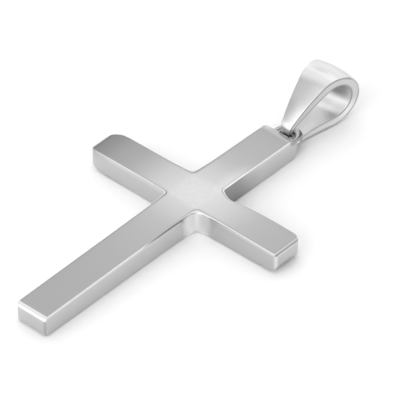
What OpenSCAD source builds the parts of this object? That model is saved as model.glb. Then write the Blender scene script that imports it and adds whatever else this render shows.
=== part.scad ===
// Plain polished Latin cross pendant with a crowned teardrop bail.
// It lies on its back: +Z is up out of the front face, +Y runs from foot to head, +X along the
// crossbar. The origin is under the middle of the whole pendant, on the surface that it lies on.

/* [Cross] */
// Height of the cross, from foot to head
cross_h = 30.7; // [29.7:0.1:31.7]
// Width across the crossbar
span = 20.8; // [20:0.1:21.5]
// Length of the head arm, from the crossbar's middle line to the head end
head_len = 10.6; // [10.4:0.1:10.8]
// Width of every arm
arm_w = 3.3; // [3.1:0.05:3.5]
// Thickness, front to back
thick = 2.1; // [2:0.05:2.2]
// Rounding of the upright corners at the arm ends
corner_r = 0.6; // [0.4:0.05:0.9]
// Fillet in the four inner corners
crotch_r = 0.6; // [0.3:0.05:0.9]
// Rounding along the long front edges
edge_r = 0.2; // [0.1:0.05:0.3]
// Rounding along the long back edges
back_edge_r = 0.35; // [0.2:0.05:0.5]
// Roll of the front face over the arm ends
end_roll_r = 0.7; // [0.5:0.05:0.9]
// Roll of the back face over the arm ends
back_roll_r = 0.6; // [0.4:0.05:0.8]

/* [Eye ring] */
// Radius of the ring's middle line
ring_r = 1.06; // [1.04:0.01:1.08]
// Radius of the ring's wire
wire_r = 0.33; // [0.31:0.01:0.34]
// How far the ring is sunk into the head end, where it is soldered
ring_sunk = 0.55; // [0.5:0.01:0.6]

/* [Bail] */
// Radius of the chain loop, at its crown
loop_r = 2.74; // [2.7:0.01:2.8]
// Radius of the rounded neck
neck_r = 1.5; // [1.45:0.01:1.55]
// Distance from the neck's tip to the loop's centre
loop_reach = 5.05; // [4.95:0.05:5.15]
// Radius of the chain hole
hole_r = 1.68; // [1.6:0.01:1.75]
// Radius of the hole's narrow end
hole_neck_r = 0.8; // [0.78:0.01:0.85]
// Wall of the band at the neck's tip
neck_wall = 0.45; // [0.4:0.01:0.48]
// Width of the band at the neck's tip
neck_w = 0.84; // [0.8:0.01:0.9]
// Width of the band at the top of the loop
top_w = 4; // [3.8:0.05:4.2]
// Radius of the crown across the band
crown_r = 8; // [7:0.1:10]
// Gap from the head end to the neck's tip, along the cross
neck_gap = 0.65; // [0.6:0.01:0.7]

/* [Hidden] */
$fn = 96;
over = 1;
foot_len = cross_h - head_len;

// The ring lies halfway up the cross's thickness, with its near side sunk in the head end
ring_y = head_len + ring_r + wire_r - ring_sunk;

// The bail's own frame: its tip at the origin, +Y up its length, +Z out of its front
bail_len = loop_reach + loop_r;
neck_y = neck_r;
hole_y = loop_reach;
hole_neck_y = neck_wall + hole_neck_r;

// Half angle between two straight flanks that touch two circles
function flank(r_near, r_far, apart) = asin((r_far - r_near) / apart);

// The bail is tilted so far that its rear flank lies flat on the surface, from neck to loop
bail_tilt = flank(neck_r, loop_r, loop_reach - neck_y);
tip_z = loop_r - loop_reach * sin(bail_tilt);
tip_y = head_len + neck_gap;

// Middle of the whole length, which is moved over the origin
bail_end_y = tip_y + loop_reach * cos(bail_tilt) + loop_r;
mid_y = (bail_end_y - foot_len) / 2;

// What a corner of radius r loses, with the corner at the origin and the shape at +X +Y
module corner_loss(r) {
    difference() {
        translate([-over, -over]) square(r + over);
        translate([r, r]) circle(r);
    }
}

// Plan of a bar from -a to b along Y, with its four corners rounded
module bar_plan(a, b) {
    difference() {
        translate([-arm_w / 2, -a]) square([arm_w, a + b]);
        for (side = [0, 1]) mirror([side, 0]) {
            translate([-arm_w / 2, -a]) corner_loss(corner_r);
            translate([-arm_w / 2, b]) mirror([0, 1]) corner_loss(corner_r);
        }
    }
}

// Side view of a bar from -a to b, with the front and the back rolled over both ends
module bar_side(a, b) {
    difference() {
        translate([-a, 0]) square([a + b, thick]);
        translate([-a, thick]) mirror([0, 1]) corner_loss(end_roll_r);
        translate([b, thick]) rotate(180) corner_loss(end_roll_r);
        translate([-a, 0]) corner_loss(back_roll_r);
        translate([b, 0]) mirror([1, 0]) corner_loss(back_roll_r);
    }
}

// Section across a bar, with its front and back edges rounded
module bar_section() {
    difference() {
        translate([-arm_w / 2, 0]) square([arm_w, thick]);
        for (side = [0, 1]) mirror([side, 0]) {
            translate([-arm_w / 2, thick]) mirror([0, 1]) corner_loss(edge_r);
            translate([-arm_w / 2, 0]) corner_loss(back_edge_r);
        }
    }
}

// One straight bar of the cross, from -a to b along Y
module bar(a, b) {
    intersection() {
        linear_extrude(thick) bar_plan(a, b);
        rotate([90, 0, 90]) linear_extrude(arm_w + 2 * over, center = true) bar_side(a, b);
        translate([0, b + over, 0]) rotate([90, 0, 0]) linear_extrude(a + b + 2 * over) bar_section();
    }
}

// Fillet in one inner corner: a turned piece whose edges are rounded like the bars' edges
module crotch_fillet() {
    reach = crotch_r + back_edge_r;
    translate([arm_w / 2 - back_edge_r, arm_w / 2 - back_edge_r, 0]) intersection() {
        cube([reach, reach, thick]);
        translate([reach, reach, 0]) rotate_extrude(angle = 90, start = 180) difference() {
            translate([crotch_r, 0]) square([2 * reach - crotch_r, thick]);
            translate([crotch_r, thick]) mirror([0, 1]) corner_loss(edge_r);
            translate([crotch_r, 0]) corner_loss(back_edge_r);
        }
    }
}

// Eye ring, lying in the plane of the cross
module eye_ring() {
    translate([0, ring_y, thick / 2]) rotate_extrude() translate([ring_r, 0]) circle(wire_r);
}

module cross() {
    color("silver") translate([0, -mid_y, 0]) union() {
        bar(foot_len, head_len);
        rotate(90) bar(span / 2, span / 2);
        for (corner = [0:3]) rotate(90 * corner) crotch_fillet();
        eye_ring();
    }
}

// Round end of the bail's outer shape, turned about the X axis, with a crown across its width
module crowned_disc(r) {
    rotate([0, 90, 0]) rotate_extrude() intersection() {
        translate([r - crown_r, 0]) circle(crown_r);
        translate([0, -top_w]) square([r, 2 * top_w]);
    }
}

// Two circles and the straight flanks that touch them both, drawn along X
module teardrop(x_near, r_near, x_far, r_far) {
    lean = flank(r_near, r_far, x_far - x_near);
    touch = [-sin(lean), cos(lean)];
    translate([x_near, 0]) circle(r_near);
    translate([x_far, 0]) circle(r_far);
    polygon([
        [x_near, 0] + r_near * touch,
        [x_far, 0] + r_far * touch,
        [x_far, 0],
        [x_far, 0] + r_far * [touch.x, -touch.y],
        [x_near, 0] + r_near * [touch.x, -touch.y],
        [x_near, 0],
    ]);
}

// The flanks between neck and loop, each with the band's crown
module crowned_flanks() {
    lean = flank(neck_r, loop_r, loop_reach - neck_y);
    touch = [-sin(lean), cos(lean)];
    intersection() {
        rotate([90, 0, 90]) linear_extrude(2 * top_w, center = true) polygon([
            [neck_y, 0] + neck_r * touch + over * touch,
            [loop_reach, 0] + (loop_r + over) * touch,
            [loop_reach, 0],
            [loop_reach, 0] + (loop_r + over) * [touch.x, -touch.y],
            [neck_y, 0] + (neck_r + over) * [touch.x, -touch.y],
            [neck_y, 0],
        ]);
        for_both_faces() translate([0, loop_reach, 0]) rotate([lean, 0, 0])
            translate([0, 0, loop_r - crown_r]) rotate([90, 0, 0])
                cylinder(r = crown_r, h = 4 * bail_len, center = true);
    }
}

// What is inside a shape and inside its mirror image behind the bail
module for_both_faces() {
    intersection() {
        children();
        mirror([0, 0, 1]) children();
    }
}

// Front view of the band: narrow at the neck, wide over the loop
module band_front() {
    polygon([[-neck_w / 2, 0], [neck_w / 2, 0], [top_w / 2, bail_len], [-top_w / 2, bail_len]]);
}

module bail() {
    color("silver") translate([0, tip_y - mid_y, tip_z]) rotate([bail_tilt, 0, 0]) difference() {
        intersection() {
            union() {
                translate([0, loop_reach, 0]) crowned_disc(loop_r);
                translate([0, neck_y, 0]) crowned_disc(neck_r);
                crowned_flanks();
            }
            linear_extrude(4 * loop_r, center = true) band_front();
        }
        rotate([90, 0, 90]) linear_extrude(2 * top_w, center = true)
            teardrop(hole_neck_y, hole_neck_r, hole_y, hole_r);
    }
}

cross();
bail();
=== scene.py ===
import math
from collections import namedtuple

import bmesh
import bpy
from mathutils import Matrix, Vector


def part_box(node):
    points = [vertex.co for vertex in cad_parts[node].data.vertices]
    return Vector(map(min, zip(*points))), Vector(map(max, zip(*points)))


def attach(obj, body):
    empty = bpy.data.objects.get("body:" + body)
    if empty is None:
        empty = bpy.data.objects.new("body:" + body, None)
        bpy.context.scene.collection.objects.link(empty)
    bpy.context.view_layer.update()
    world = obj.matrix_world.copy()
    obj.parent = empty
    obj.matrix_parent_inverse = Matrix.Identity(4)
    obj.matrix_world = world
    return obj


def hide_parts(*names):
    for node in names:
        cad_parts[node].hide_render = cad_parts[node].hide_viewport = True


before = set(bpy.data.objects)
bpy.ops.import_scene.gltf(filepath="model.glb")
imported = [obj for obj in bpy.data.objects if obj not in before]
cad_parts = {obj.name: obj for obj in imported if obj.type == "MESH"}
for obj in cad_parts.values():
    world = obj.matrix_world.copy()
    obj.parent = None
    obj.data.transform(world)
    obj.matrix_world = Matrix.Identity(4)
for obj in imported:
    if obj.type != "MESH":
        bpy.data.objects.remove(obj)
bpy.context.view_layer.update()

# Every size and place below is in millimetres, unless its name or comment says otherwise
MM = 0.001

# The cross: its reach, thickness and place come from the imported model. Half of an arm's width, and
# the lengths of foot arm and head arm from the middle of the crossing, are the model's sizes too.
CROSS_LOW, CROSS_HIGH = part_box("cross")
HALF_ARM = 1.65
FOOT = 20.1
HEAD = 10.6
REACH = CROSS_HIGH.x / MM
THICK = CROSS_HIGH.z / MM
CENTRE_Y = CROSS_LOW.y / MM + FOOT

# The eye ring: its radius and its wire's, and how far it is sunk into the head end
RING_R, WIRE_R, RING_SUNK = 1.06, 0.33, 0.55
WIRE_SIDES, RING_STEPS = 24, 64

# The bail, in its own upright frame: tip at the origin, length along Y.
# Radii of its outline at the loop and at the neck, and of its hole at both
LOOP_R, NECK_R = 2.74, 1.5
HOLE_R, HOLE_NECK_R = 1.68, 0.8
# From the tip to the middle of the loop, and the thickness of the wall at the tip
LOOP_REACH, NECK_WALL = 5.05, 0.45
# Width of the band at the tip and at the far end of the loop, radius of its crowned face,
# and how far its flanks bow out
NECK_W, TOP_W = 0.84, 4.0
CROWN_R = 8.0
BOW = 0.1
# From the head end of the cross to the bail's tip
NECK_GAP = 0.65

# Points closer together than this are one point
WELD = 0.002
# How squarely a face has to face its way to be picked
FACING = 0.8


# Picking and shaping

def take_up(piece):
    """Makes one piece the only selected and active one."""
    bpy.ops.object.select_all(action="DESELECT")
    piece.select_set(True)
    bpy.context.view_layer.objects.active = piece


def edit(piece, kind="FACE"):
    """Opens one piece for editing, with nothing selected in it."""
    take_up(piece)
    bpy.ops.object.mode_set(mode="EDIT")
    bpy.ops.mesh.select_mode(type=kind)
    bpy.ops.mesh.select_all(action="DESELECT")


def leave():
    bpy.ops.object.mode_set(mode="OBJECT")


def settle(piece):
    """Puts the piece's place, turn and scale into its mesh."""
    take_up(piece)
    bpy.ops.object.transform_apply(location=True, rotation=True, scale=True)


def pick(kind, wanted):
    """Selects the faces, edges or points of the edited piece that pass the test."""
    bpy.ops.mesh.select_all(action="DESELECT")
    bm = bmesh.from_edit_mesh(bpy.context.edit_object.data)
    for item in getattr(bm, kind):
        if wanted(item):
            item.select_set(True)
    bm.select_flush_mode()
    bmesh.update_edit_mesh(bpy.context.edit_object.data)


def mid(item):
    """Middle of a face or an edge, in millimetres."""
    if isinstance(item, bmesh.types.BMFace):
        return item.calc_center_median() / MM
    return (item.verts[0].co + item.verts[1].co) / (2 * MM)


def near(a, b, slack=0.01):
    return abs(a - b) < slack


def cut_at(place, across):
    """Cuts the whole edited piece along one plane."""
    bpy.ops.mesh.select_all(action="SELECT")
    bpy.ops.mesh.bisect(plane_co=Vector(place) * MM, plane_no=across)


def move(step):
    """Moves what is selected."""
    bpy.ops.transform.translate(value=Vector(step) * MM)


def push(step):
    """Extrudes the selected faces as one region."""
    bpy.ops.mesh.extrude_region_move(TRANSFORM_OT_translate={"value": Vector(step) * MM})


def weld():
    """Merges the points of the edited piece that meet."""
    bpy.ops.mesh.select_all(action="SELECT")
    bpy.ops.mesh.remove_doubles(threshold=WELD * MM)


def finish_shape(piece, levels):
    """Subdivides a cage to its final surface and smooths its shading."""
    take_up(piece)
    smooth = piece.modifiers.new("polish", "SUBSURF")
    smooth.levels = smooth.render_levels = levels
    bpy.ops.object.modifier_apply(modifier=smooth.name)
    bpy.ops.object.shade_smooth()


# The cross

# How close to each edge the cage holds it, on the front, the sides and the back
EDGE_HOLD = 0.11
SIDE_HOLD = 0.17
BACK_HOLD = 0.5
# The narrow facet along the long front edges
FACET_IN, FACET_DOWN = 0.035, 0.065
# Rows of points along an arm: the first beyond the crossing block, and the usual step
CROTCH = 0.3
ROW_STEP = 1.9
# The front falls by this much for each millimetre, after a slow curve of this reach
FALL = 0.014
FALL_REACH = {"side": 6.5, "head": 5.5, "foot": 4.6}
# How high the front rises at the crossing, and the back at the tips of the side arms
CROSSING_RISE = 0.12
BACK_RISE = 0.36
# The back's rise leaves out the crossing block and this much of each side arm
ARM_START = 0.1
# Points above the one share of the thickness belong to the front, below the other to the back
FRONT_PART, BACK_PART = 0.6, 0.4
# How far the head end stands out past its length, and how far the foot stops short of its own
HEAD_BULGE = 0.5
FOOT_SHORT = 0.22
# How far from its place in plan a point of a column may stand
COLUMN_SLACK = 0.09

# How far each inner corner is filled out: which corner, right and up, then the step at the corner
# itself, the step beside it, and the step along the arm
CROTCH_FILL = (
    (1, -1, 0.27, 0.08, 0.28),
    (-1, 1, 0.36, 0.18, 0),
    (-1, -1, 0.22, 0.10, 0),
)
# The shallow hollow in the right arm beside the head arm: place and step of each column of points
HOLLOW = (
    ((1.65, 1.65), (0, 0.1)),
    ((1.95, 1.6), (0.95, -0.62)),
    ((3.74, 1.6), (0, -0.22)),
    ((5.53, 1.6), (0, -0.08)),
)
# How each end is rolled over, as radii: side towards the viewer, other side, front edge, back edge
FOOT_END = (0.18, 0.45, 0.30, 0.5)
HEAD_END = (0.32, 0.8, 0.95, 0.95)
RIGHT_END = (0.4, 0.9, 0.22, 0.7)
LEFT_END = (0.65, 1.5, 0.2, 0.85)
# Distances from the tip at which an end is drawn in
END_ROWS = (1.30, 0.85, 0.50, 0.28, 0.14, 0.05, 0)


def fall(x, y):
    """How far the front lies lower at a place: slow curves round the crossing, then straight slopes."""
    low = 0
    lengthways = FALL_REACH["head" if y > 0 else "foot"]
    for along, reach in ((abs(x), FALL_REACH["side"]), (abs(y), lengthways)):
        low += FALL * (along * along / (2 * reach) if along < reach else along - reach / 2)
    return low


def rolled(radius, setback):
    """How far an edge rolled to a radius has drawn in at a distance from the tip."""
    short = max(radius - setback, 0)
    return radius - math.sqrt(radius * radius - short * short)


def fit_section(place, facing, old, new):
    """Fits the selected end of an arm to new limits: high and low across it, then top and bottom."""
    wide = (new[0] - new[1]) / (old[0] - old[1])
    high = (new[2] - new[3]) / (old[2] - old[3])
    middle = place + facing * (old[0] + old[1]) / 2 + Vector((0, 0, (old[2] + old[3]) / 2))
    scale = (wide, 1, high) if facing.x else (1, wide, high)
    bpy.ops.transform.resize(value=scale, center_override=middle * MM)
    across = sum(new[:2]) - sum(old[:2])
    upwards = sum(new[2:]) - sum(old[2:])
    move(facing * across / 2 + Vector((0, 0, upwards / 2)))


def pull_arm(direction, length, end):
    """Extrudes one arm from the crossing block to its end and rolls the end over."""
    d = Vector(direction)
    facing = Vector((1, 0, 0)) if d.y else Vector((0, -1, 0))
    crossing = Vector((0, CENTRE_Y, 0))

    def at_root(face):
        place = mid(face) - crossing
        return near(place.dot(d), HALF_ARM) and (place - place.dot(d) * d).xy.length < HALF_ARM

    pick("faces", lambda f: f.normal.dot(d) > FACING and at_root(f))
    first, last = HALF_ARM + CROTCH, length - END_ROWS[0]
    count = round((last - first) / ROW_STEP)
    at = HALF_ARM
    for k in range(count):
        stop = first + (last - first) * k / count
        push(d * (stop - at))
        at = stop
    section = (HALF_ARM, -HALF_ARM, THICK, 0)
    for setback in END_ROWS:
        push(d * (length - setback - at))
        at = length - setback
        side, other, front, back = (rolled(radius, setback) for radius in end)
        smaller = (HALF_ARM - side, other - HALF_ARM, THICK - front, back)
        fit_section(crossing + d * at, facing, section, smaller)
        section = smaller


def move_column(x, y, step):
    """Moves the column of points that stands at one place in plan, measured from the crossing."""
    place = Vector((x, CENTRE_Y + y))
    pick("verts", lambda v: (v.co.xy / MM - place).length < COLUMN_SLACK)
    move((*step, 0))


def fill_crotch(right, up, corner, beside, along):
    """Fills out one inner corner between two arms."""
    row, next_row = HALF_ARM, HALF_ARM + CROTCH
    move_column(right * row, up * row, (right * corner, up * corner))
    move_column(right * next_row, up * row, (right * along, up * beside))
    move_column(right * row, up * next_row, (right * beside, up * along))


def lift_rows(piece, chosen, lift):
    """Lifts the chosen points of the cross by a height that depends on their place in plan."""
    bm = bmesh.from_edit_mesh(piece.data)
    rows = {}
    for v in bm.verts:
        if chosen(v):
            place = (round(v.co.x / MM, 2), round(v.co.y / MM - CENTRE_Y, 2))
            rows.setdefault(place, set()).add(v.index)
    for (x, y), found in rows.items():
        pick("verts", lambda v: v.index in found)
        move((0, 0, lift(x, y)))


def back_lift(x, y):
    """How far the back of the side arms has risen at a place."""
    return BACK_RISE * ((abs(x) - HALF_ARM) / (REACH - HALF_ARM)) ** 4


def crossing_block():
    """The block where the arms meet, cut into the rows that hold its edges."""
    bpy.ops.mesh.primitive_cube_add(
        size=1, location=(0, CENTRE_Y * MM, THICK * MM / 2),
        scale=(2 * HALF_ARM * MM, 2 * HALF_ARM * MM, THICK * MM))
    block = bpy.context.object
    block.name = "polished_cross"
    settle(block)
    edit(block)
    hold = HALF_ARM - EDGE_HOLD
    for x in (-hold, 0, hold):
        cut_at((x, 0, 0), (1, 0, 0))
    for y in (-hold, 0, hold):
        cut_at((0, CENTRE_Y + y, 0), (0, 1, 0))
    for z in (BACK_HOLD, THICK - SIDE_HOLD, THICK - FACET_DOWN):
        cut_at((0, 0, z), (0, 0, 1))
    return block


def ease_front_edges():
    """Draws the long front edges in, which leaves a narrow facet along each."""
    for turn in (-1, 1):
        edge = turn * HALF_ARM
        pick("verts", lambda v: near(v.co.z / MM, THICK) and near(v.co.x / MM, edge))
        move((-turn * FACET_IN, 0, 0))
        pick("verts", lambda v: near(v.co.z / MM, THICK) and near(v.co.y / MM - CENTRE_Y, edge))
        move((0, -turn * FACET_IN, 0))


def make_cross():
    cross = crossing_block()
    pull_arm((0, -1, 0), FOOT - FOOT_SHORT, FOOT_END)
    pull_arm((0, 1, 0), HEAD + HEAD_BULGE, HEAD_END)
    pull_arm((1, 0, 0), REACH, RIGHT_END)
    pull_arm((-1, 0, 0), REACH, LEFT_END)
    ease_front_edges()
    for corner in CROTCH_FILL:
        fill_crotch(*corner)
    for (x, y), step in HOLLOW:
        move_column(x, y, step)
    # The front falls away gently from the crossing, and the back of the side arms rises a little
    front, back, arm = THICK * FRONT_PART * MM, THICK * BACK_PART * MM, (HALF_ARM + ARM_START) * MM
    lift_rows(cross, lambda v: v.co.z > front, lambda x, y: CROSSING_RISE - fall(x, y))
    lift_rows(cross, lambda v: v.co.z < back and abs(v.co.x) > arm, back_lift)
    leave()
    finish_shape(cross, levels=3)
    return cross


def make_ring():
    """The round wire of the eye ring, spun once round its middle."""
    middle = Vector((0, CENTRE_Y + HEAD + RING_R + WIRE_R - RING_SUNK, THICK / 2))
    bpy.ops.mesh.primitive_circle_add(
        vertices=WIRE_SIDES, radius=WIRE_R * MM, location=(middle + Vector((RING_R, 0, 0))) * MM,
        rotation=(math.pi / 2, 0, 0))
    ring = bpy.context.object
    ring.name = "eye_ring"
    settle(ring)
    edit(ring)
    bpy.ops.mesh.select_all(action="SELECT")
    bpy.ops.mesh.spin(steps=RING_STEPS, angle=2 * math.pi, center=middle * MM, axis=(0, 0, 1))
    weld()
    bpy.ops.mesh.normals_make_consistent(inside=False)
    leave()
    finish_shape(ring, levels=1)
    return ring


# The bail

# Steps of its outline along a flank, round the loop and round the neck
FLANK_STEPS, LOOP_STEPS, NECK_STEPS = 6, 30, 14
# Rows of points across the band, as shares of its half width
BAND_ROWS = (-1.0, -0.9, -0.66, -0.33, 0, 0.33, 0.66, 0.9, 1.0)
# Width of the eased edges of its rim
RIM_EDGE = 0.065
# Places of its four finishes among its material slots
BAND, HOLE, RIM, RIM_LINE = range(4)


def push_point(step):
    bpy.ops.mesh.extrude_vertices_move(TRANSFORM_OT_translate={"value": Vector(step) * MM})


def spin_point(steps, angle, y):
    """Leads the selected point round a centre on the bail's long axis."""
    bpy.ops.mesh.spin(steps=steps, angle=angle, center=Vector((0, y, 0)) * MM, axis=(1, 0, 0))


def bow_at(k):
    """How far a flank has bowed out at one of its points, as a share of the whole bow."""
    return math.sin(math.pi * k / FLANK_STEPS)


def outline(name, r_near, r_far, near_y, far_y):
    """A closed teardrop outline in the plane X = 0: a point led up a flank, round the loop and back."""
    lean = math.asin((r_far - r_near) / (far_y - near_y))
    bpy.ops.mesh.primitive_plane_add(size=MM, location=(0, 0, 0))
    piece = bpy.context.object
    piece.name = name
    edit(piece, "VERT")
    bpy.ops.mesh.select_all(action="SELECT")
    bpy.ops.mesh.merge(type="CENTER")
    touch = Vector((0, -math.sin(lean), math.cos(lean)))
    start = Vector((0, near_y, 0)) + r_near * touch
    move(start)
    run = (Vector((0, far_y, 0)) + r_far * touch - start) / FLANK_STEPS
    bow = [BOW * touch * (bow_at(k + 1) - bow_at(k)) for k in range(FLANK_STEPS)]
    for out in bow:
        push_point(run + out)
    spin_point(LOOP_STEPS, math.pi + 2 * lean, far_y)
    for out in reversed(bow):
        step = run - out
        push_point((0, -step.y, step.z))
    spin_point(NECK_STEPS, math.pi - 2 * lean, near_y)
    weld()
    leave()
    return piece


def widen_to_loop(piece):
    """Widens the band evenly from the neck to the loop."""
    along = [v.co.y / MM for v in piece.data.vertices]
    growth = (TOP_W / NECK_W - 1) / (LOOP_REACH + LOOP_R)
    widen = piece.modifiers.new("widen", "SIMPLE_DEFORM")
    widen.deform_method = "TAPER"
    widen.deform_axis = "Y"
    widen.lock_z = True
    widen.factor = growth * (max(along) - min(along))
    bpy.ops.object.modifier_apply(modifier=widen.name)


def crown_over(piece):
    """Sinks the sides of the band, so that its outer face is crowned."""
    deepest = (TOP_W / 2) ** 2 / (2 * CROWN_R)
    group = piece.vertex_groups.new(name="crown")
    for v in piece.data.vertices:
        group.add([v.index], (v.co.x / MM) ** 2 / (2 * CROWN_R) / deepest, "REPLACE")
    round_off = piece.modifiers.new("round_off", "DISPLACE")
    round_off.vertex_group = group.name
    round_off.mid_level = 0
    round_off.strength = -deepest * MM
    bpy.ops.object.modifier_apply(modifier=round_off.name)
    piece.vertex_groups.clear()


def skin(name, r_near, r_far, near_y, far_y, crown):
    """One skin of the band: an outline drawn out across it, widened and, on the outside, crowned."""
    piece = outline(name, r_near, r_far, near_y, far_y)
    edit(piece, "EDGE")
    bpy.ops.mesh.select_all(action="SELECT")
    half = NECK_W / 2
    move((BAND_ROWS[0] * half, 0, 0))
    for at, stop in zip(BAND_ROWS, BAND_ROWS[1:]):
        step = (stop - at) * half * MM
        bpy.ops.mesh.extrude_edges_move(TRANSFORM_OT_translate={"value": (step, 0, 0)})
    bpy.ops.mesh.select_all(action="SELECT")
    bpy.ops.mesh.normals_make_consistent(inside=not crown)
    leave()
    take_up(piece)
    widen_to_loop(piece)
    if crown:
        crown_over(piece)
    return piece


def close_rims(bail):
    """Joins the two skins of the band along both of its sides."""
    for side in (-1, 1):
        edit(bail, "EDGE")
        pick("edges", lambda e: e.is_boundary and mid(e).x * side > 0)
        bpy.ops.mesh.bridge_edge_loops()
        leave()


def finish_faces(piece, slot):
    """Gives the selected faces the finish in one material slot."""
    piece.active_material_index = slot
    bpy.ops.object.material_slot_assign()


def make_bail(*finishes):
    """The bail, with its finishes in the order of the slots: band, hole, rim, line along the rim."""
    bail = skin("polished_bail", NECK_R, LOOP_R, NECK_R, LOOP_REACH, True)
    inside = skin("inside", HOLE_NECK_R, HOLE_R, NECK_WALL + HOLE_NECK_R, LOOP_REACH, False)
    bail.data.materials.append(finishes[BAND])
    for finish in finishes[HOLE:]:
        inside.data.materials.append(finish)
    take_up(bail)
    inside.select_set(True)
    bpy.ops.object.join()
    close_rims(bail)
    edit(bail)
    # The narrow strip round each rim gets the dark rim-line silver, a painted shade line
    pick("faces", lambda f: abs(f.normal.x) > FACING)
    finish_faces(bail, RIM_LINE)
    bpy.ops.mesh.inset(thickness=RIM_EDGE * MM, use_boundary=True, use_even_offset=True)
    finish_faces(bail, RIM)
    bpy.ops.mesh.select_all(action="SELECT")
    bpy.ops.mesh.normals_make_consistent(inside=False)
    leave()
    finish_shape(bail, levels=2)
    # It lies on its loop and its lower flank, with its neck through the ring
    tilt = math.asin((LOOP_R - NECK_R) / (LOOP_REACH - NECK_R))
    bail.rotation_euler = (tilt, 0, 0)
    height = LOOP_R - LOOP_REACH * math.sin(tilt)
    bail.location = (0, (CENTRE_Y + HEAD + NECK_GAP) * MM, height * MM)
    settle(bail)
    return bail


# Node groups

def add(tree, kind, **settings):
    """A new shader node with its settings."""
    node = tree.nodes.new("ShaderNode" + kind)
    for name, value in settings.items():
        setattr(node, name, value)
    return node


def wire(tree, start, end):
    tree.links.new(start, end)


def give(tree, value, socket):
    """Wires another socket to this one, or sets a plain value on it."""
    if isinstance(value, bpy.types.NodeSocket):
        wire(tree, value, socket)
    else:
        socket.default_value = value


def feed(tree, node, **values):
    """Gives the named inputs of a node their values; an underscore stands for a space."""
    for name, value in values.items():
        give(tree, value, node.inputs[name.replace("_", " ")])


def compute(tree, kind, operation, *values):
    """The result of one arithmetic node; the length and dot product of vectors are plain numbers."""
    node = add(tree, kind, operation=operation)
    for value, socket in zip(values, node.inputs):
        give(tree, value, socket)
    return node.outputs["Value" if operation in ("LENGTH", "DOT_PRODUCT") else 0]


def fade_out(tree, value, inner, outer):
    """A smooth fade from one at the inner limit to zero at the outer one."""
    fade = add(tree, "MapRange", interpolation_type="SMOOTHSTEP")
    feed(tree, fade, Value=value, From_Min=inner, From_Max=outer, To_Min=1, To_Max=0)
    return fade.outputs["Result"]


def new_group(name, inputs, outputs):
    """An empty node group with named sockets, each given as its name and kind."""
    group = bpy.data.node_groups.new(name, "ShaderNodeTree")
    for label, kind in inputs:
        group.interface.new_socket(name=label, in_out="INPUT", socket_type="NodeSocket" + kind)
    for label, kind in outputs:
        group.interface.new_socket(name=label, in_out="OUTPUT", socket_type="NodeSocket" + kind)
    return group, group.nodes.new("NodeGroupInput").outputs, group.nodes.new("NodeGroupOutput").inputs


def polish_marks_group():
    """Faint traces of the polishing mop: soft clouds in tone, a finer haze, and a slow ripple."""
    group, given, made = new_group(
        "polish_marks",
        (("Position", "Vector"), ("Cloud Scale", "Float"), ("Haze Scale", "Float")),
        (("Cloud", "Float"), ("Haze", "Float"), ("Ripple", "Float")))
    for target, scale, detail in (("Ripple", "Cloud Scale", 1.0),
                                  ("Cloud", "Cloud Scale", 3.0),
                                  ("Haze", "Haze Scale", 2.0)):
        noise = add(group, "TexNoise")
        feed(group, noise, Vector=given["Position"], Scale=given[scale], Detail=detail)
        wire(group, noise.outputs["Fac"], made[target])
    return group


def painted_shading_spot_group():
    """Where a patch of painted light or shade lies: full inside its inner radius, gone at its outer
    one.
    """
    group, given, made = new_group(
        "painted_shading_spot",
        (("Position", "Vector"), ("Place", "Vector"), ("Axes", "Vector"),
         ("Inner", "Float"), ("Outer", "Float"), ("Top", "Float")),
        (("Mask", "Float"),))
    away = compute(group, "VectorMath", "SUBTRACT", given["Position"], given["Place"])
    counted = compute(group, "VectorMath", "MULTIPLY", away, given["Axes"])
    distance = compute(group, "VectorMath", "LENGTH", counted)
    fade = fade_out(group, distance, given["Inner"], given["Outer"])
    parts = add(group, "SeparateXYZ")
    wire(group, given["Position"], parts.inputs[0])
    below = compute(group, "Math", "LESS_THAN", parts.outputs["Z"], given["Top"])
    wire(group, compute(group, "Math", "MULTIPLY", fade, below), made["Mask"])
    return group


def soft_box_group():
    """One soft light on the sky: full inside its inner angle, gone outside its outer angle."""
    group, given, made = new_group(
        "soft_box",
        (("Direction", "Vector"), ("Aim", "Vector"),
         ("Inner", "Float"), ("Outer", "Float"), ("Strength", "Float")),
        (("Light", "Float"),))
    cosine = compute(group, "VectorMath", "DOT_PRODUCT", given["Direction"], given["Aim"])
    degrees = compute(group, "Math", "DEGREES", compute(group, "Math", "ARCCOSINE", cosine))
    fade = fade_out(group, degrees, given["Inner"], given["Outer"])
    wire(group, compute(group, "Math", "MULTIPLY", fade, given["Strength"]), made["Light"])
    return group


# Finishes

POLISH_MARKS = polish_marks_group()
PAINTED_SHADING_SPOT = painted_shading_spot_group()

# Noise scales of the polishing marks on metal and of the grain of paper, and depth of the ripple
METAL_CLOUDS, METAL_HAZE = 420, 3500
PAPER_CLOUDS, PAPER_GRAIN = 30, 900
RIPPLE_STRENGTH, RIPPLE_DEPTH = 0.3, 0.001
# The haze changes the roughness by this share, between these values of its noise
HAZE_SHARE = 0.06
HAZE_LOW, HAZE_HIGH = 0.3, 0.7
# Tones and roughness between which the paper's grain goes
PAPER_TONES, PAPER_ROUGH = (0.89, 0.91), (0.85, 0.95)

# A patch of painted light or shade in another tone. place: its middle, from the crossing. axes: how
# much each direction counts.
# inner, outer: where it is full and where it ends. top: the height above which it isn't.
NO_TOP = 99
Patch = namedtuple("Patch", "place axes inner outer tone rough top", defaults=(NO_TOP,))

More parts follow.
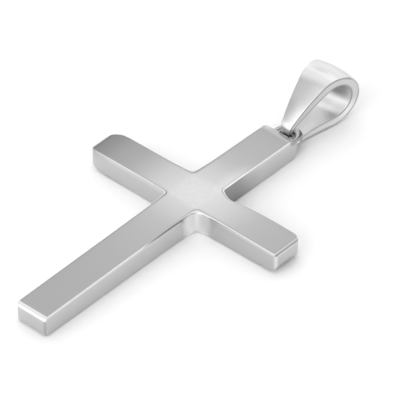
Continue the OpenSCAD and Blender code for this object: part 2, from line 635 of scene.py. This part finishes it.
CROSS_PATCHES = (
    # Painted shade: the sides are a little darker than the front, most of all on the right arm
    Patch((0, 0, 0), (0, 0, 1), 1.7, 1.95, 0.56, 0.12),
    Patch((10.4, 0, 0), (1, 0, 0), 5.0, 8.0, 0.52, 0.12, 1.9),
    # Painted light: a bright corner before the crossing, below its front edge and at it
    Patch((1.75, -1.75, 0), (1, 1, 0), 0.6, 1.75, 0.98, 0.5, 2.12),
    Patch((1.75, -1.75, 2.0), (1, 1, 1), 0.9, 1.9, 0.98, 0.6, 2.12),
    # Painted sheen on the head arm's front, and painted shade on the wall behind the right arm
    Patch((1.55, 3.4, 2.2), (1, 0.45, 1), 0.2, 1.4, 0.74, 0.1),
    Patch((1.9, 1.9, 0), (1, 1, 0), 1.2, 5.0, 0.32, 0.12, 2.12),
    # Painted shade where the head end rolls over, damping its reflection, and a painted highlight along
    # the foot's front edge
    Patch((0, 10.55, 2.1), (0, 1, 1), 0.38, 0.62, 0.38, 0.2),
    Patch((0, -19.84, 1.84), (0, 1, 1), 0.1, 0.20, 0.92, 0.2),
    # Painted shade along the right end's front edge, and a painted highlight on its upright edge
    Patch((10.28, 0, 2.07), (1, 0, 1), 0.07, 0.18, 0.36, 0.3),
    Patch((10.28, -1.53, 0), (1, 1, 0), 0.04, 0.25, 0.72, 0.2, 1.95),
    # Painted shade on the foot's upright edge, and weaker painted shade on the left corner of the head
    # end
    Patch((1.6, -19.84, 0), (1, 1, 0), 0.05, 0.18, 0.42, 0.2, 1.7),
    Patch((-1.2, 10.65, 2.05), (1, 1, 1), 0.1, 0.6, 0.52, 0.2),
    # Painted shade along the foot arm's front edge before the crossing, and a painted dark reflection
    # on the tip of the left arm
    Patch((1.63, -5.3, 2.15), (1, 0.034, 1), 0.06, 0.125, 0.2, 0.2),
    Patch((-10.4, 0, 2.1), (1, 0, 2.5), 0.0, 3.0, 0.46, 0.1),
)
BAND_PATCHES = (
    # A soft painted highlight on the crest of the loop, and painted shade on the left side of the neck
    Patch((0, 15.8, 5.4), (0, 1, 1), 0.15, 0.5, 0.68, 0.29),
    Patch((-0.9, 12.6, 2.8), (1, 1, 1), 0.6, 1.6, 0.5, 0.29),
)
HOLE_PATCHES = (
    # Grey painted shade towards the neck, a bright painted highlight along the loop, and dark painted
    # shade under the top of the loop
    Patch((-1.8, 13.55, 0.55), (1.2, 1, 1.35), 1.6, 3.45, 0.49, 0.36),
    Patch((2.0, 16.8, 0), (1, 1, 0.6), 1.6, 2.75, 0.98, 0.36),
    Patch((-0.15, 17.6, 3.0), (0.85, 1, 1.4), 0.8, 2.45, 0.26, 0.36),
)
RIM_PATCHES = (
    # Painted highlight: the rim is lighter along the lower flank and round the foot of the loop
    Patch((0, 14.2, 0.2), (0, 0.3, 1), 0.6, 1.0, 0.84, 0.1),
    Patch((0, 16.9, 1.3), (0, 1, 1), 0.5, 1.7, 0.88, 0.1),
)
RIM_LINE_PATCHES = (
    # Painted highlight: its lines are lighter along the lower flank and on the far side of the loop
    Patch((0, 14.8, 0.1), (0, 0.3, 1), 0.7, 1.1, 0.56, 0.2),
    Patch((0, 18.9, 4.4), (0, 1, 1), 1.2, 1.75, 0.48, 0.2),
)


def grey(tone):
    return (tone, tone, tone, 1)


def mix_tones(tree, mask, start, end):
    """A colour that goes from one tone to another; each end is a grey value or a colour socket."""
    mix = add(tree, "Mix", data_type="RGBA")
    wire(tree, mask, mix.inputs["Factor"])
    for value, socket in ((start, mix.inputs[6]), (end, mix.inputs[7])):
        give(tree, grey(value) if isinstance(value, float) else value, socket)
    return mix.outputs[2]


def new_finish(name, cloud_scale, haze_scale):
    """A new material: itself, its tree, its shader, its coordinates and the marks of its surface."""
    finish = bpy.data.materials.new(name)
    finish.use_nodes = True
    tree = finish.node_tree
    position = add(tree, "TexCoord").outputs["Object"]
    marks = add(tree, "Group", node_tree=POLISH_MARKS)
    feed(tree, marks, Position=position, Cloud_Scale=cloud_scale, Haze_Scale=haze_scale)
    return finish, tree, tree.nodes["Principled BSDF"], position, marks.outputs


def patch_mask(tree, position, patch):
    """Where one patch of painted light or shade lies on the surface."""
    spot = add(tree, "Group", node_tree=PAINTED_SHADING_SPOT)
    place = (Vector(patch.place) + Vector((0, CENTRE_Y, 0))) * MM
    feed(tree, spot, Position=position, Place=place, Axes=patch.axes,
         Inner=patch.inner * MM, Outer=patch.outer * MM, Top=patch.top * MM)
    return spot.outputs["Mask"]


def silver_finish(name, roughness, tone, clouds, patches=()):
    """Silver with faint polishing marks and, where they are given, patches of painted light and shade
    in another tone.
    """
    silver, tree, shader, position, marks = new_finish(name, METAL_CLOUDS, METAL_HAZE)
    shader.inputs["Metallic"].default_value = 1
    colour = mix_tones(tree, marks["Cloud"], tone * (1 - clouds), tone * (1 + clouds))
    haze = add(tree, "MapRange")
    feed(tree, haze, Value=marks["Haze"], From_Min=HAZE_LOW, From_Max=HAZE_HIGH,
         To_Min=roughness * (1 - HAZE_SHARE), To_Max=roughness * (1 + HAZE_SHARE))
    rough = haze.outputs["Result"]
    for patch in patches:
        mask = patch_mask(tree, position, patch)
        colour = mix_tones(tree, mask, colour, patch.tone)
        blend = add(tree, "Mix")
        feed(tree, blend, Factor=mask, A=rough, B=patch.rough)
        rough = blend.outputs[0]
    bump = add(tree, "Bump")
    feed(tree, bump, Strength=RIPPLE_STRENGTH, Distance=RIPPLE_DEPTH * MM, Height=marks["Ripple"])
    feed(tree, shader, Base_Color=colour, Roughness=rough, Normal=bump.outputs["Normal"])
    return silver


def paper_finish():
    """White studio paper with a very faint grain."""
    paper, tree, shader, _, marks = new_finish("white_paper", PAPER_CLOUDS, PAPER_GRAIN)
    rough = add(tree, "MapRange")
    feed(tree, rough, Value=marks["Cloud"], To_Min=PAPER_ROUGH[0], To_Max=PAPER_ROUGH[1])
    colour = mix_tones(tree, marks["Haze"], *PAPER_TONES)
    feed(tree, shader, Base_Color=colour, Roughness=rough.outputs["Result"])
    return paper


# Camera, floor and light

# The photograph's viewing angle: degrees to the right of the foot and above the surface
CAMERA_TURN, CAMERA_RISE = 42.01, 40.14
# What the camera looks at, from the crossing, and how far off it stands
CAMERA_AIM = (-0.6963, 1.3943, 0)
CAMERA_AWAY = 495
LENS, SENSOR = 536.7, 36
CLIP_METRES = 0.01
FLOOR_METRES = 4

# Soft lights: where each stands in the sky, its inner and outer angle in degrees, and its strength
SOFT_LIGHTS = (
    ((-0.512, 0.568, 0.645), 0.1, 2.3, 0.85),
    ((-0.614, 0.544, 0.573), 3.2, 6.6, -0.38),
    ((-0.512, 0.568, 0.645), 5.0, 7.5, -0.7),
    ((-0.512, 0.568, 0.645), 38.0, 52.0, 0.7),
    ((-0.512, -0.558, 0.655), 10.0, 35.0, 0.15),
    ((-0.05, -0.93, 0.30), 26.0, 38.0, 1.6),
    ((0.81, 0.57, 0.15), 8.0, 16.0, 1.8),
    ((0.93, -0.30, 0.25), 30.0, 42.0, -0.2),
    ((0.30, -0.40, 0.87), 20.0, 50.0, 0.6),
)
SKY = 0.68


def make_camera():
    turn, rise = math.radians(CAMERA_TURN), math.radians(CAMERA_RISE)
    back = Vector((math.sin(turn) * math.cos(rise), -math.cos(turn) * math.cos(rise), math.sin(rise)))
    aim = (Vector(CAMERA_AIM) + Vector((0, CENTRE_Y, 0))) * MM
    lens = bpy.data.cameras.new("camera")
    camera = bpy.data.objects.new("camera", lens)
    bpy.context.scene.collection.objects.link(camera)
    camera.location = aim + back * CAMERA_AWAY * MM
    camera.rotation_euler = back.to_track_quat("Z", "Y").to_euler()
    lens.sensor_width = SENSOR
    lens.lens = LENS
    lens.clip_start = CLIP_METRES
    bpy.context.scene.camera = camera


def make_floor():
    bpy.ops.mesh.primitive_plane_add(size=FLOOR_METRES, location=(0, 0, 0))
    floor = bpy.context.object
    floor.name = "floor"
    floor.data.materials.append(paper_finish())


def make_light():
    """A white sky with soft boxes in it; a negative strength is a dark screen."""
    world = bpy.data.worlds.new("studio")
    bpy.context.scene.world = world
    world.use_nodes = True
    tree = world.node_tree
    direction = add(tree, "TexCoord").outputs["Generated"]
    group = soft_box_group()
    total = SKY
    for aim, inner, outer, strength in SOFT_LIGHTS:
        box = add(tree, "Group", node_tree=group)
        feed(tree, box, Direction=direction, Aim=Vector(aim).normalized(),
             Inner=inner, Outer=outer, Strength=strength)
        total = compute(tree, "Math", "ADD", box.outputs["Light"], total)
    feed(tree, tree.nodes["Background"], Strength=total, Color=(1, 1, 1, 1))
    bpy.context.scene.view_settings.view_transform = "Standard"


# The finished part

# The rim's edge lines and the eye ring are painted darker than the rest, as painted shade; the ring is
# also rougher
silver = silver_finish("polished_silver", 0.09, 0.62, 0.01, CROSS_PATCHES)
soft_silver = silver_finish("soft_silver", 0.29, 0.60, 0.012, BAND_PATCHES)
rim_silver = silver_finish("rim_silver", 0.09, 0.58, 0.01, RIM_PATCHES)
painted_shade_edge_silver = silver_finish("painted_shade_edge_silver", 0.2, 0.36, 0.02, RIM_LINE_PATCHES)
satin_silver = silver_finish("satin_silver", 0.36, 0.74, 0.015, HOLE_PATCHES)
dull_and_painted_shade_silver = silver_finish("dull_and_painted_shade_silver", 0.16, 0.42, 0.02)

cross = make_cross()
cross.data.materials.append(silver)
ring = make_ring()
ring.data.materials.append(dull_and_painted_shade_silver)
bail = make_bail(soft_silver, satin_silver, rim_silver, painted_shade_edge_silver)
for piece, node in ((cross, "cross"), (ring, "cross"), (bail, "bail")):
    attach(piece, "root")
    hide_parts(node)
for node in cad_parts.values():
    node.data.materials.clear()
    node.data.materials.append(silver)

make_camera()
make_floor()
make_light()
